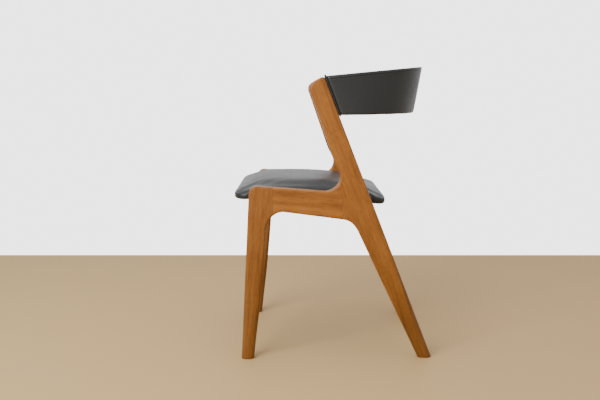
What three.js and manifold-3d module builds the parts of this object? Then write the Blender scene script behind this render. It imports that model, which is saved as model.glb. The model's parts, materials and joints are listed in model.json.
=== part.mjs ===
// Dining chair: two raked side frames, an upholstered seat between them and a curved upholstered
// back rail behind them. Millimetres, +Z up, the sitter faces -Y, the sitter's left is +X.
import * as THREE from 'three';
import { mergeVertices } from 'three/addons/utils/BufferGeometryUtils.js';
import Module from 'manifold-3d';

const wasm = await Module();
wasm.setup();

// Side frames
const WIDTH = 480;               // over the front legs
const FRONT_Y = -235;            // where that width is measured
const TOE_IN = 0.0253;           // each frame turns in towards the rear, as a slope
const FRAME_T = 28;              // thickness across
const EDGE_R = 5;                // roundover of the upper members
const FOOT_R = 12.6;             // the feet end almost oval
const LEG_JOINT_Y = -153.8;      // shoulder between front leg and side rail
const POST_JOINT = [13, 459.5];  // top of the shoulder between side rail and rear post
const POST_JOINT_LEAN = 0.097;
const POST_REAR_Y = 250.2;       // rear edge of the rear leg at the floor
const POST_RAKE = 0.3904;        // its slope, straight to the top of the post
const GAP = 0.15;                // half of the play in a glued joint
const TENON_T = 10;
const DOWEL_R = 4;
const CROSS_T = 22;              // cross rails
const BLOCK = 58;                // legs of the corner blocks
const SCREW = { head: 3.6, cone: 2.6, shank: 1.9 };

// Seat
const SEAT_FRONT = -250.2;
const SEAT_REAR = 128.7;
const SEAT_CLEAR = 3.2;
const LEATHER = 1.2;
const BOARD_T = 9;

// Back rail
const BACK_A = 233;              // half width over the leather
const BACK_T = 27;
const BACK_BOTTOM = 617;
const BACK_TOP = 714.4;          // at Y = 0, rising to the rear
const BACK_TOP_RISE = 0.106;
const BACK_REAR_Y = 220.2;       // rearmost point at the bottom edge
const BACK_LEAN = 0.18;
const WELT_R = 2.6;
const WELT_GAP = 6.4;
const BACK_DOWEL_X = BACK_A - 17.4;

const colours = {
  teak: [0x9c6a3a, 0.55], beech: [0xcbab7d, 0.7], plywood: [0xc8a878, 0.7],
  leather: [0x303030, 0.45], piping: [0x262626, 0.5], foam: [0xd8d0b4, 0.95],
  lining: [0x1e1e1e, 0.9], steel: [0xa8a8a8, 0.35],
};

const outerX = (y) => WIDTH / 2 - TOE_IN * (y - FRONT_Y);
const innerX = (y) => outerX(y) - FRAME_T;
const postRearY = (z) => POST_REAR_Y - POST_RAKE * z;
const seatUnder = (y) => 405.7 - 0.0383 * (y + 219);
const seatEdge = (y) => 419.5 - 0.037 * (y + 249);
const seatCrown = (y) => 451 - 0.00065 * (y + 98) ** 2;

const chair = new THREE.Group();
chair.name = 'dining_chair';

function add(name, geometry, colour) {
  const [hex, roughness] = colours[colour];
  const metalness = colour === 'steel' ? 1 : 0;
  const mesh = new THREE.Mesh(geometry, new THREE.MeshStandardMaterial({ color: hex, roughness, metalness }));
  mesh.name = name;
  chair.add(mesh);
}

// Solid from a geometry, and back
function solid(geometry) {
  const plain = geometry.clone();
  plain.deleteAttribute('normal');
  plain.deleteAttribute('uv');
  const merged = mergeVertices(plain, 1e-4);
  return new wasm.Manifold(new wasm.Mesh({
    numProp: 3,
    vertProperties: new Float32Array(merged.attributes.position.array),
    triVerts: new Uint32Array(merged.index.array),
  }));
}

// The cuts can leave specks of no volume, so only the largest piece is kept
function geometryOf(body) {
  const [largest] = body.decompose().sort((a, b) => b.volume() - a.volume());
  const mesh = largest.getMesh();
  const geometry = new THREE.BufferGeometry();
  geometry.setAttribute('position', new THREE.BufferAttribute(new Float32Array(mesh.vertProperties), 3));
  geometry.setIndex(new THREE.BufferAttribute(new Uint32Array(mesh.triVerts), 1));
  return geometry;
}

function mirrored(geometry) {
  const other = geometry.clone().scale(-1, 1, 1);
  const index = other.index.array;
  for (let i = 0; i < index.length; i += 3) [index[i], index[i + 1]] = [index[i + 1], index[i]];
  return other;
}

function addPair(name, geometry, colour) {
  add(`left_${name}`, geometry, colour);
  add(`right_${name}`, mirrored(geometry), colour);
}

const block = (x, y, z, sx, sy, sz) => solid(new THREE.BoxGeometry(sx, sy, sz).translate(x, y, z));

// Cylinder along a world axis, starting at (x, y, z)
function rod(axis, radius, length, x, y, z) {
  const geometry = new THREE.CylinderGeometry(radius, radius, length, 16).translate(0, length / 2, 0);
  if (axis === 'x') geometry.rotateZ(-Math.PI / 2);
  if (axis === 'z') geometry.rotateX(Math.PI / 2);
  return geometry.translate(x, y, z);
}

// Closed body through rings with the same number of points: either a loop of rings,
// or closed at both ends around a point. Each quad is split along its shorter diagonal.
function skin(rings, poles) {
  const count = rings[0].length;
  const points = rings.flat();
  const index = [];
  const spans = poles ? rings.length - 1 : rings.length;
  for (let r = 0; r < spans; r += 1) {
    const a = r * count;
    const b = ((r + 1) % rings.length) * count;
    for (let i = 0; i < count; i += 1) {
      const j = (i + 1) % count;
      const [p, q, s, t] = [a + i, a + j, b + j, b + i];
      const straight = points[p].distanceTo(points[s]) < points[q].distanceTo(points[t]);
      index.push(...(straight ? [p, q, s, p, s, t] : [p, q, t, q, s, t]));
    }
  }
  if (poles) {
    const last = (rings.length - 1) * count;
    points.push(...poles);
    for (let i = 0; i < count; i += 1) {
      const j = (i + 1) % count;
      index.push(points.length - 2, j, i, points.length - 1, last + i, last + j);
    }
  }
  let volume = 0;
  for (let i = 0; i < index.length; i += 3) {
    const [a, b, c] = [points[index[i]], points[index[i + 1]], points[index[i + 2]]];
    volume += a.dot(new THREE.Vector3().crossVectors(b, c));
  }
  if (volume < 0) for (let i = 0; i < index.length; i += 3) [index[i], index[i + 1]] = [index[i + 1], index[i]];
  const geometry = new THREE.BufferGeometry().setFromPoints(points);
  geometry.setIndex(index);
  return geometry;
}

const centreOf = (ring) => ring.reduce((sum, p) => sum.add(p), new THREE.Vector3()).divideScalar(ring.length);

// ---- side frames: one outline, rounded over, then parted at its two joints
function sideOutline() {
  const path = new THREE.Path();
  path.moveTo(-236, -20);
  for (const z of [0, 60, 120, 180, 240, 300]) path.lineTo(-235 + 0.0506 * z, z);
  path.lineTo(-213.7, 420);
  path.quadraticCurveTo(-212.6, 443.1, -191, 441.4);
  path.lineTo(-27, 428.8);
  path.bezierCurveTo(-6, 427.2, 14, 443, 14, 465);
  path.bezierCurveTo(14, 482, 2.5, 491.5, -6, 515.6);
  path.lineTo(-60.5, 672.8);
  path.quadraticCurveTo(-67.3, 692.4, -45, 703.3);
  path.lineTo(-35, 708.2);
  path.quadraticCurveTo(-27.7, 711.8, -24.8, 704.4);
  for (const z of [300, 240, 180, 120, 60, 0, -20]) path.lineTo(postRearY(z), z);
  for (const z of [-20, 0, 60, 120, 180, 240, 300]) path.lineTo(214.8 - 0.4755 * z, z);
  path.lineTo(62.5, 320.3);
  path.bezierCurveTo(51.1, 344.3, 40, 354.9, 22, 357.3);
  path.lineTo(-125, 376.7);
  path.bezierCurveTo(-143, 379.1, -168, 365, -171.5, 332);
  for (const [y, z] of [[-173.7, 300], [-178.3, 240], [-183.4, 180], [-189.4, 120], [-196.7, 60],
    [-203.3, 0], [-205.4, -20]]) path.lineTo(y, z);
  return path.getPoints(7);
}

function roundedPlate(outline, half, radiusAt, steps) {
  const inset = outline.map((p, i) => {
    const before = outline[(i + outline.length - 1) % outline.length];
    const after = outline[(i + 1) % outline.length];
    const d1 = p.clone().sub(before).normalize();
    const d2 = after.clone().sub(p).normalize();
    const mean = d1.clone().add(d2).normalize();
    return new THREE.Vector2(mean.y, -mean.x).divideScalar(Math.max(0.6, mean.dot(d1)));
  });
  const ring = (side, step) => outline.map((p, i) => {
    const r = radiusAt(p.y);
    const turn = (step / steps) * Math.PI / 2;
    const q = p.clone().addScaledVector(inset[i], r * (1 - Math.cos(turn)));
    return new THREE.Vector3(side * (half - r + r * Math.sin(turn)), q.x, q.y);
  });
  const levels = [...Array(steps + 1).keys()];
  const rings = [...levels.map((k) => ring(-1, steps - k)), ...levels.map((k) => ring(1, k))];
  const points = rings.flat();
  const count = outline.length;
  const index = [];
  for (let r = 0; r < rings.length - 1; r += 1) {
    for (let i = 0; i < count; i += 1) {
      const a = r * count + i;
      const b = r * count + (i + 1) % count;
      index.push(a, b + count, b, a, a + count, b + count);
    }
  }
  const top = (rings.length - 1) * count;
  const face = ring(1, steps).map((p) => new THREE.Vector2(p.y, p.z));
  for (const [a, b, c] of THREE.ShapeUtils.triangulateShape(face, [])) {
    const flip = THREE.ShapeUtils.area([face[a], face[b], face[c]]) < 0;
    const [p, q, t] = flip ? [a, c, b] : [a, b, c];
    index.push(top + p, top + q, top + t, p, t, q);
  }
  const geometry = new THREE.BufferGeometry().setFromPoints(points);
  geometry.setIndex(index);
  return geometry;
}

// Straight prisms: an (x, y) outline swept along Z, or a (y, z) outline swept along X
function prismZ(points, z0, z1) {
  const shape = new THREE.Shape(points.map(([u, v]) => new THREE.Vector2(u, v)));
  return new THREE.ExtrudeGeometry(shape, { depth: z1 - z0, bevelEnabled: false }).translate(0, 0, z0);
}

function prismX(points, x0, x1) {
  const turn = new THREE.Matrix4().makeBasis(
    new THREE.Vector3(0, 1, 0), new THREE.Vector3(0, 0, 1), new THREE.Vector3(1, 0, 0));
  return prismZ(points, x0, x1).applyMatrix4(turn);
}

const radiusAt = (z) => EDGE_R + (FOOT_R - EDGE_R) * THREE.MathUtils.smoothstep(300 - z, 0, 240);
const plate = roundedPlate(sideOutline(), FRAME_T / 2, radiusAt, 3)
  .translate(-FRAME_T / 2, -FRONT_Y, 0).rotateZ(Math.atan(TOE_IN)).translate(WIDTH / 2, FRONT_Y, 0);
const side = solid(plate).intersect(block(220, 0, 500, 140, 700, 1000));

const postJointY = (z, shift) => POST_JOINT[0] + POST_JOINT_LEAN * (POST_JOINT[1] - z) + shift;
const aheadOfPost = (shift, y0, z0) => solid(prismX([[y0, z0], [postJointY(z0, shift), z0],
  [postJointY(461, shift), 461], [y0, 461]], 150, 290));
const aheadOfRail = (shift) => block(220, LEG_JOINT_Y + shift - 100, 400, 140, 200, 900);

const midX = (y) => outerX(y) - FRAME_T / 2;
const tenon = (y0, y1, z0, z1, play) => block(midX((y0 + y1) / 2), (y0 + y1) / 2, (z0 + z1) / 2,
  TENON_T + play, y1 - y0 + play, z1 - z0 + play);
const frontTenon = (play) => tenon(LEG_JOINT_Y - 25, LEG_JOINT_Y + 10, 392, 430, play);
const rearTenon = (play) => tenon(5, 42, 384, 428, play);

// ---- cross rails and their dowels, beneath the seat
const crossRails = {
  front: { y: -194.5, bottom: 360, top: seatUnder(-183.5) - 0.3 },
  rear: { y: 67.5, bottom: 352, top: seatUnder(78.5) - 0.3 },
};
const crossDowels = Object.entries(crossRails).flatMap(([name, r]) => [0.27, 0.73].map((part, i) => (
  { name: `${name}_rail_dowel_${i + 1}`, x: innerX(r.y), y: r.y, z: r.bottom + (r.top - r.bottom) * part })));
const backDowels = [642, 690].map((z, i) => ({ name: `back_dowel_${i + 1}`, y: postRearY(z), z }));

// ---- corner blocks: a triangular block in each corner, with a screw into the side frame,
// one into the cross rail and one up into the seat board
const corners = [
  { name: 'front', y: crossRails.front.y + CROSS_T / 2 + 0.2, toward: 1, bottom: 380 },
  { name: 'rear', y: crossRails.rear.y - CROSS_T / 2 - 0.2, toward: -1, bottom: 371 },
];
for (const corner of corners) {
  const { y, toward, bottom } = corner;
  const inner = innerX(y + toward * 22) - 0.3;
  const up = seatUnder(y + toward * 12) + 8 - bottom;
  corner.inner = inner;
  corner.screws = [
    { part: 'side', axis: 'x', sign: 1, length: 30, at: [inner - 15.5, y + toward * 22, bottom + 7] },
    { part: 'cross', axis: 'y', sign: -toward, length: 30, at: [inner - 22, y + toward * 15.5, bottom + 16] },
    { part: 'seat', axis: 'z', sign: 1, length: up, at: [inner - 37, y + toward * 12, bottom + 0.5] },
  ];
}

// Countersunk wood screw, or with growth the hole for it, with its head face at a point
function screwBody({ axis, sign, length, at }, grow = 0, lead = 0) {
  const r = SCREW.shank + grow;
  const head = SCREW.head + grow;
  const profile = [[head, 0], [r, SCREW.cone + grow], [r, length - 3]];
  if (lead) profile.unshift([head, -lead]);
  const rings = profile.map(([radius, u]) => [...Array(12).keys()].map((k) => (
    new THREE.Vector3(u, radius * Math.cos(k * Math.PI / 6), radius * Math.sin(k * Math.PI / 6)))));
  const body = skin(rings, [new THREE.Vector3(-lead, 0, 0), new THREE.Vector3(length + grow, 0, 0)]);
  if (axis === 'x' && sign < 0) body.rotateZ(Math.PI);
  if (axis === 'y') body.rotateZ(sign * Math.PI / 2);
  if (axis === 'z') body.rotateY(-Math.PI / 2);
  return body.translate(...at);
}
const bothSides = (geometry) => solid(geometry).add(solid(mirrored(geometry)));

// ---- seat: outline and layers, each a distance in from the leather's outside
function seatOutline(inset) {
  const [y0, y1] = [SEAT_FRONT + inset, SEAT_REAR - inset];
  const x = (y) => innerX(y) - SEAT_CLEAR - inset;
  const [r0, r1] = [Math.max(42 - inset, 6), Math.max(26 - inset, 6)];
  const path = new THREE.Path();
  path.moveTo(0, y0);
  path.lineTo(95, y0);
  path.lineTo(x(y0) - r0, y0);
  path.bezierCurveTo(x(y0) - r0 * 0.45, y0, x(y0), y0 + r0 * 0.45, x(y0 + r0), y0 + r0);
  path.lineTo(x(-130), -130);
  path.lineTo(x(-20), -20);
  path.lineTo(x(y1 - r1), y1 - r1);
  path.bezierCurveTo(x(y1), y1 - r1 * 0.45, x(y1) - r1 * 0.45, y1, x(y1) - r1, y1);
  path.lineTo(95, y1);
  path.lineTo(0, y1);
  const half = path.getPoints(6).map((p) => [p.x, p.y]);
  return [...half, ...half.slice(1, -1).reverse().map(([px, py]) => [-px, py])];
}

const SEAT_MID = (SEAT_FRONT + SEAT_REAR) / 2;
// The crown falls off towards all four sides, and is brought to the edge height on the outline
const crownAt = (x, y) => {
  const [u, v] = [Math.abs(x) / (innerX(y) - SEAT_CLEAR), (y - SEAT_MID) / (SEAT_REAR - SEAT_MID)];
  return Math.sqrt(Math.max(0, 1 - u ** 5) * Math.max(0, 1 - Math.abs(v) ** (v < 0 ? 6.5 : 4)));
};
const domeRing = (inset, s) => seatOutline(inset).map(([x, y]) => {
  const py = SEAT_MID + (y - SEAT_MID) * s;
  const share = crownAt(x * s, py) - crownAt(x, y) * s ** 8;
  return new THREE.Vector3(x * s, py, seatEdge(py) + (seatCrown(py) - inset - seatEdge(py)) * share);
});
const dome = (inset) => [0.3, 0.55, 0.74, 0.87, 0.95, 0.985].map((s) => domeRing(inset, s));
const domePole = (inset) => new THREE.Vector3(0, SEAT_MID, seatCrown(SEAT_MID) - inset);
const wallRing = (inset, heightAt) => seatOutline(inset).map(([x, y]) => new THREE.Vector3(x, y, heightAt(y)));
const above = (rise) => (y) => seatUnder(y) + rise;
const slab = (inset, rise, thick) => {
  const [low, high] = [wallRing(inset, above(rise)), wallRing(inset, above(rise + thick))];
  return solid(skin([low, high], [centreOf(low), centreOf(high)]));
};

const seatCover = skin([
  ...dome(0),
  wallRing(0, seatEdge), wallRing(0, above(7)), wallRing(2.5, above(2)),
  wallRing(7, above(0)), wallRing(28, above(0)), wallRing(28, above(LEATHER)),
  wallRing(8, above(LEATHER)), wallRing(3.6, above(3)), wallRing(LEATHER, above(7.5)),
  wallRing(LEATHER, seatEdge), ...dome(LEATHER).reverse(),
], [domePole(0), domePole(LEATHER)]);
const FOAM_IN = 2.2;
const foamBase = wallRing(FOAM_IN, above(BOARD_T + 2.2));
const seatFoam = skin([...dome(FOAM_IN), wallRing(FOAM_IN, seatEdge), foamBase],
  [domePole(FOAM_IN), centreOf(foamBase)]);
let seatBoard = slab(8.6, 1.6, BOARD_T);
let seatLining = slab(30, 0.2, 0.9);

// ---- back rail: a point is placed by its angle round the curve, its depth in from the
// outer face, its share of the height and a rise from there
function backPoint(turn, depth, share, rise) {
  let z = BACK_BOTTOM;
  let y = 0;
  for (let i = 0; i < 4; i += 1) {
    const end = postRearY(z) + WELT_GAP;
    const rear = BACK_REAR_Y + BACK_LEAN * (z - BACK_BOTTOM);
    y = end + (rear - end - depth) * Math.cos(turn);
    z = BACK_BOTTOM + share * (BACK_TOP + BACK_TOP_RISE * y - BACK_BOTTOM) + rise;
  }
  return new THREE.Vector3((BACK_A - depth) * Math.sin(turn), y, z);
}

// Rectangular section with rounded corners, between two depths and inset at top and bottom
function section(inset, depth0, depth1, r) {
  const corner = (depth, share) => [0, 1, 2].map((k) => {
    const turn = k * Math.PI / 4;
    const inward = depth === depth0 ? 1 : -1;
    const upward = share === 0 ? 1 : -1;
    return [depth + inward * r * (1 - Math.cos(turn)), share, upward * (inset + r * (1 - Math.sin(turn)))];
  });
  return [...corner(depth0, 0), ...corner(depth1, 0).reverse(),
    ...corner(depth1, 1), ...corner(depth0, 1).reverse()];
}

function backBody(loop, turns) {
  const rings = turns.map((turn) => loop.map((p) => backPoint(turn, ...p)));
  return skin(rings, [centreOf(rings[0]), centreOf(rings[rings.length - 1])]);
}
// All layers share the same stations round the curve, so that their facets run parallel
const turnsTo = (limit) => [-limit, ...[...Array(31).keys()].map((k) => (k - 15) * 5.625)
  .filter((t) => Math.abs(t) < limit - 1), limit].map(THREE.MathUtils.degToRad);

const innerLoop = section(LEATHER, LEATHER, BACK_T - LEATHER, 6);
const backCover = skin(section(0, 0, BACK_T, 7).map((p, i) => [
  ...turnsTo(90).map((turn) => backPoint(turn, ...p)),
  ...turnsTo(90).map((turn) => backPoint(turn, ...innerLoop[i])).reverse(),
]));
const backFoam = backBody(section(LEATHER + 0.4, 10, BACK_T - LEATHER - 0.4, 5.6), turnsTo(81));
let backShell = solid(backBody(section(5, 2.4, 9.4, 1), turnsTo(89)));
const endTurns = [82.2, 84.8, 87.4, 89.6].map(THREE.MathUtils.degToRad);
let endBlock = solid(backBody(section(7, 10.3, 24.6, 1), endTurns));
const backScrews = [656, 676].map((z) => (
  { axis: 'x', sign: -1, length: 17, at: [BACK_A - 2.9, postRearY(z) + WELT_GAP + 13, z] }));

// Piping: a cord all round the end of the back, in the gap behind the post
const weltPath = section(-0.6, WELT_R + 0.2, BACK_T - WELT_R - 0.2, 5).map((p) => (
  backPoint(Math.PI / 2, ...p).add(new THREE.Vector3(0, -WELT_GAP / 2, 0))));
const backWelt = skin(weltPath.map((p, i) => {
  const next = weltPath[(i + 1) % weltPath.length];
  const along = next.clone().sub(weltPath.at(i - 1)).normalize();
  const across = new THREE.Vector3(0, 1, POST_RAKE).normalize();
  const out = new THREE.Vector3().crossVectors(along, across);
  return [...Array(8).keys()].map((k) => p.clone()
    .addScaledVector(across, WELT_R * Math.cos(k * Math.PI / 4))
    .addScaledVector(out, WELT_R * Math.sin(k * Math.PI / 4)));
}));

// ---- joints cut into the members, then everything into the group
let post = side.subtract(aheadOfPost(GAP, -400, -60)).subtract(rearTenon(2 * GAP));
let leg = side.intersect(aheadOfRail(-GAP)).subtract(frontTenon(2 * GAP));
const rail = side.intersect(aheadOfPost(-GAP, LEG_JOINT_Y + GAP, 300)).add(frontTenon(0)).add(rearTenon(0));

for (const d of crossDowels) {
  const hole = solid(rod('x', DOWEL_R + GAP, 20, d.x - 4, d.y, d.z));
  if (d.y < 0) leg = leg.subtract(hole);
  else post = post.subtract(hole);
  addPair(d.name, rod('x', DOWEL_R, 31, d.x - 15.5, d.y, d.z), 'beech');
}
for (const d of backDowels) {
  post = post.subtract(solid(rod('y', DOWEL_R + GAP, 24, BACK_DOWEL_X, d.y - 20, d.z)));
  endBlock = endBlock.subtract(solid(rod('y', DOWEL_R + GAP, 32, BACK_DOWEL_X, d.y, d.z)));
  addPair(d.name, rod('y', DOWEL_R, 46, BACK_DOWEL_X, d.y - 18, d.z), 'beech');
}
backScrews.forEach((screw, i) => {
  endBlock = endBlock.subtract(solid(screwBody(screw, GAP)));
  backShell = backShell.subtract(bothSides(screwBody(screw, GAP, 3)));
  addPair(`back_screw_${i + 1}`, screwBody(screw), 'steel');
});

for (const corner of corners) {
  const { name, y, toward, bottom, inner, screws } = corner;
  const { y: railY, bottom: railBottom, top: railTop } = crossRails[name];
  const ends = [[railY - CROSS_T / 2, -1], [railY - CROSS_T / 2, 1], [railY + CROSS_T / 2, 1], [railY + CROSS_T / 2, -1]];
  let crossRail = solid(prismZ(ends.map(([v, s]) => [s * (innerX(v) - 0.2), v]), railBottom, railTop));
  for (const d of crossDowels.filter((dowel) => dowel.y === railY)) {
    crossRail = crossRail.subtract(bothSides(rod('x', DOWEL_R + GAP, 20, d.x - 16, d.y, d.z)));
  }
  const plan = [[inner - BLOCK, y], [inner - 0.3, y], [innerX(y + toward * BLOCK) - 0.3, y + toward * BLOCK]];
  if (toward < 0) plan.reverse();
  let cornerBlock = solid(prismZ(plan, bottom, seatUnder(y + Math.max(toward, 0) * BLOCK) - 0.3));
  for (const screw of screws) {
    const hole = screwBody(screw, GAP, 26);
    cornerBlock = cornerBlock.subtract(solid(hole));
    if (screw.part === 'cross') crossRail = crossRail.subtract(bothSides(hole));
    if (screw.part === 'seat') {
      seatBoard = seatBoard.subtract(bothSides(hole));
      seatLining = seatLining.subtract(bothSides(hole));
    }
    if (screw.part === 'side' && toward > 0) leg = leg.subtract(solid(hole));
    if (screw.part === 'side' && toward < 0) post = post.subtract(solid(hole));
    addPair(`${name}_${screw.part}_screw`, screwBody(screw), 'steel');
  }
  add(`${name}_cross_rail`, geometryOf(crossRail), 'beech');
  addPair(`${name}_corner_block`, geometryOf(cornerBlock), 'beech');
}

addPair('front_leg', geometryOf(leg), 'teak');
addPair('side_rail', geometryOf(rail), 'teak');
addPair('rear_post', geometryOf(post), 'teak');
add('seat_board', geometryOf(seatBoard), 'plywood');
add('seat_lining', geometryOf(seatLining), 'lining');
add('seat_foam', seatFoam, 'foam');
add('seat_cover', seatCover, 'leather');
add('back_shell', geometryOf(backShell), 'plywood');
addPair('back_end_block', geometryOf(endBlock), 'beech');
add('back_foam', backFoam, 'foam');
add('back_cover', backCover, 'leather');
addPair('back_welt', backWelt, 'piping');

export default chair;
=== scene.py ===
import bpy, bmesh, json
from math import sin, cos, pi, radians, sqrt, atan
from mathutils import Vector, Matrix, noise
from mathutils.bvhtree import BVHTree

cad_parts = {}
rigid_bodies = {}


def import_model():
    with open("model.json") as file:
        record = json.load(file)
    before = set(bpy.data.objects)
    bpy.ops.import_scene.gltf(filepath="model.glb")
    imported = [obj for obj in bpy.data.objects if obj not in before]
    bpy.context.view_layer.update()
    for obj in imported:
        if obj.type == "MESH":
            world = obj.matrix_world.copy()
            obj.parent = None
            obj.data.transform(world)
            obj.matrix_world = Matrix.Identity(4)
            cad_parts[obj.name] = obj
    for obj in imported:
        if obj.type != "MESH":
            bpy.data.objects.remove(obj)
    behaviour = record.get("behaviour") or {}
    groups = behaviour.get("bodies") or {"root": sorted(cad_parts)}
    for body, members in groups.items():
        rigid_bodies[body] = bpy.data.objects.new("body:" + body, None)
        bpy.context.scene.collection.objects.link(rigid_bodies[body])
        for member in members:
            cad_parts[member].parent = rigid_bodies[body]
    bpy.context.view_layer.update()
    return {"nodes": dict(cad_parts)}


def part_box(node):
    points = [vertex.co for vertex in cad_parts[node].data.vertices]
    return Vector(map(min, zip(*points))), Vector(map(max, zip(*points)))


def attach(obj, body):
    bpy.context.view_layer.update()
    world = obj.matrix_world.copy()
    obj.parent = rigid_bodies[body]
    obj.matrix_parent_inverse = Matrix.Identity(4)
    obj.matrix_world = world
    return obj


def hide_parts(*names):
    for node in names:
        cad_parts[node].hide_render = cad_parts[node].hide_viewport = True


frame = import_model()
print("frame loaded")

# sizes shared by several pieces, in millimetres until a mesh is made
chair = {
    "width": 480, "frontY": -235, "toeIn": 0.0253, "frameThick": 28,
    "postFootY": 250.2, "postRake": 0.3904,
    "legJointY": -153.8, "postJointY": 13, "postJointZ": 459.5, "postJointLean": 0.097,
    "jointGap": 0.12,
}


def outerX(y):
    return chair["width"] / 2 - chair["toeIn"] * (y - chair["frontY"])


def innerX(y):
    return outerX(y) - chair["frameThick"]


def postRearY(z):
    return chair["postFootY"] - chair["postRake"] * z


def smooth(t):
    t = min(1, max(0, t))
    return t * t * (3 - 2 * t)


# small mesh helpers

def bezier(a, b, c, d, steps):
    points = []
    for k in range(1, steps + 1):
        t = k / steps
        w = ((1 - t) ** 3, 3 * t * (1 - t) ** 2, 3 * t * t * (1 - t), t ** 3)
        points.append(tuple(sum(w[i] * p[n] for i, p in enumerate((a, b, c, d))) for n in (0, 1)))
    return points


def arcTo(a, corner, c, steps):       # a rounded corner between two tangent points
    near = [a[n] + (corner[n] - a[n]) * 2 / 3 for n in (0, 1)]
    far = [c[n] + (corner[n] - c[n]) * 2 / 3 for n in (0, 1)]
    return bezier(a, near, far, c, steps)


def lineTo(a, b, steps):
    return [tuple(a[n] + (b[n] - a[n]) * k / steps for n in (0, 1)) for k in range(1, steps + 1)]


def addObject(name, bm, material, smoothFaces=True):
    bmesh.ops.recalc_face_normals(bm, faces=bm.faces)
    mesh = bpy.data.meshes.new(name)
    bm.to_mesh(mesh)
    bm.free()
    mesh.polygons.foreach_set("use_smooth", [smoothFaces] * len(mesh.polygons))
    mesh.materials.append(material)
    piece = bpy.data.objects.new(name, mesh)
    bpy.context.scene.collection.objects.link(piece)
    return piece


def skin(rings, closed=False, poles=True):    # quads through rings of equal length, in millimetres
    bm = bmesh.new()
    rows = [[bm.verts.new(Vector(p) / 1000) for p in ring] for ring in rings]
    spans = len(rows) if closed else len(rows) - 1
    for r in range(spans):
        a, b = rows[r], rows[(r + 1) % len(rows)]
        for i in range(len(a)):
            j = (i + 1) % len(a)
            bm.faces.new((a[i], a[j], b[j], b[i]))
    if poles and not closed:
        for row in (rows[0], rows[-1]):
            middle = sum((v.co for v in row), Vector()) / len(row)
            tip = bm.verts.new(middle)
            for i in range(len(row)):
                bm.faces.new((row[i], row[(i + 1) % len(row)], tip))
    return bm


def mirrorMesh(bm):
    for v in bm.verts:
        v.co.x = -v.co.x
    bmesh.ops.recalc_face_normals(bm, faces=bm.faces)


def finishPiece(piece, slotName, *nodes):
    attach(piece, "root")
    if nodes:
        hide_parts(*nodes)


# shader helpers

class Wire:                                   # one socket, with arithmetic on it
    def __init__(self, recipe, socket):
        self.recipe, self.socket = recipe, socket

    def math(self, operation, *others):
        return self.recipe.make("ShaderNodeMath", {"operation": operation}, dict(enumerate((self,) + others)))

    def __add__(self, other): return self.math("ADD", other)
    def __sub__(self, other): return self.math("SUBTRACT", other)
    def __mul__(self, other): return self.math("MULTIPLY", other)
    def __radd__(self, other): return self.math("ADD", other)
    def __rmul__(self, other): return self.math("MULTIPLY", other)
    def __rsub__(self, other): return self.math("MULTIPLY", -1).math("ADD", other)

    def spread(self, low, high):              # 0 below low, 1 above high, smooth between
        return self.recipe.make("ShaderNodeMapRange", {"interpolation_type": "SMOOTHSTEP"},
                                {0: self, 1: low, 2: high})


finishSockets = {"colour": "Base Color", "rough": "Roughness", "normal": "Normal", "metal": "Metallic",
                 "spec": "Specular IOR Level", "sheen": "Sheen Weight", "sheenRough": "Sheen Roughness"}


class Recipe:                                 # one material being mixed
    def __init__(self, name):
        self.material = bpy.data.materials.new(name)
        self.material.use_nodes = True
        self.tree = self.material.node_tree
        self.shader = self.tree.nodes["Principled BSDF"]

    def make(self, kind, settings=None, inputs=None, out=0):
        node = self.tree.nodes.new(kind)
        for key, value in (settings or {}).items():
            if key == "stops":
                ramp = node.color_ramp
                while len(ramp.elements) < len(value):
                    ramp.elements.new(0.5)
                for element, (place, colour) in zip(ramp.elements, value):
                    element.position = place
                    element.color = (*colour, 1)
            else:
                setattr(node, key, value)
        for key, value in (inputs or {}).items():
            if isinstance(value, Wire):
                self.tree.links.new(value.socket, node.inputs[key])
            else:
                node.inputs[key].default_value = value
        return Wire(self, node.outputs[out])

    def place(self, moved=(0, 0, 0), turned=(0, 0, 0), scaled=(1, 1, 1)):
        where = self.make("ShaderNodeTexCoord", out="Object")
        return self.make("ShaderNodeMapping", {}, {"Vector": where, "Location": moved,
                                                   "Rotation": turned, "Scale": scaled})

    def drawnOut(self, where, share):         # a pattern stretched along Z
        return self.make("ShaderNodeMapping", {}, {"Vector": where, "Scale": (1, 1, share)})

    def shifted(self, where, push, reach):
        return self.make("ShaderNodeVectorMath", {"operation": "MULTIPLY_ADD"}, {0: push, 1: reach, 2: where})

    def cloud(self, where, scale, detail=3, rough=0.5, warp=0):
        return self.make("ShaderNodeTexNoise", {}, {"Vector": where, "Scale": scale, "Detail": detail,
                                                    "Roughness": rough, "Distortion": warp})

    def blend(self, factor, a, b, how="MIX"):
        node = self.tree.nodes.new("ShaderNodeMix")
        node.data_type, node.blend_type = "RGBA", how
        for index, value in ((0, factor), (6, a), (7, b)):
            if isinstance(value, Wire):
                self.tree.links.new(value.socket, node.inputs[index])
            else:
                node.inputs[index].default_value = (*value, 1) if index else value
        return Wire(self, node.outputs[2])

    def shaded(self, colour, shade):
        grey = self.make("ShaderNodeCombineColor", {}, {0: shade, 1: shade, 2: shade})
        return self.blend(1.0, colour, grey, "MULTIPLY")

    def bump(self, height, strength, distance, under=None):
        inputs = {"Height": height, "Strength": strength, "Distance": distance}
        if under:
            inputs["Normal"] = under
        return self.make("ShaderNodeBump", {}, inputs)

    def wear(self, **links):                  # links or numbers for the shader's own sockets
        for key, value in links.items():
            socket = self.shader.inputs[finishSockets[key]]
            if isinstance(value, Wire):
                self.tree.links.new(value.socket, socket)
            else:
                socket.default_value = (*value, 1) if key == "colour" else value
        return self.material


# materials

# the fifth colour lightens the rounded edges: partly real wear, partly a painted highlight
teakLook = {"dark": (0.150, 0.048, 0.0065), "middle": (0.268, 0.094, 0.0130), "light": (0.365, 0.143, 0.0230),
            "pore": (0.055, 0.018, 0.0035), "wearAndHighlight": (0.44, 0.200, 0.050),
            "bandScale": 70, "lineScale": 420, "fineScale": 1300, "poreScale": 1500, "patchScale": 14,
            "wander": (0.020, 0.034, 0), "relief": 0.0004, "gloss": 0.30}


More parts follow.
